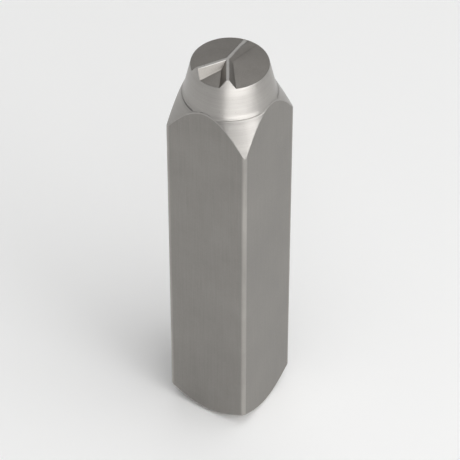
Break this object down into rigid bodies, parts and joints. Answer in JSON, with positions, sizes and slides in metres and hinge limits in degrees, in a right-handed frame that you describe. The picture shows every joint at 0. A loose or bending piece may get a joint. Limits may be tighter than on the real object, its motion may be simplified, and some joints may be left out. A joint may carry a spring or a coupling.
{
  "type": "letter punch",
  "caption": "Square steel shank with a turned head, a steep cone over a wider cone, that carries a raised letter with sloping sides; the struck end is a chamfered flat.",
  "frame": {"origin": "centre of the flat struck end, on the surface that the punch stands on", "axes": "+Z along the shank towards the letter; the shank's flats face +X, -X, +Y and -Y; the letter's stem points along +Y"},
  "size_m": [0.013, 0.013, 0.066],
  "materials": {
    "punch_steel": "bare steel: satin ground flats, finely turned bright head, darker milled floors round the letter"
  },
  "bodies": {
    "root": {"letter_punch": "punch_steel"}
  },
  "joints": []
}
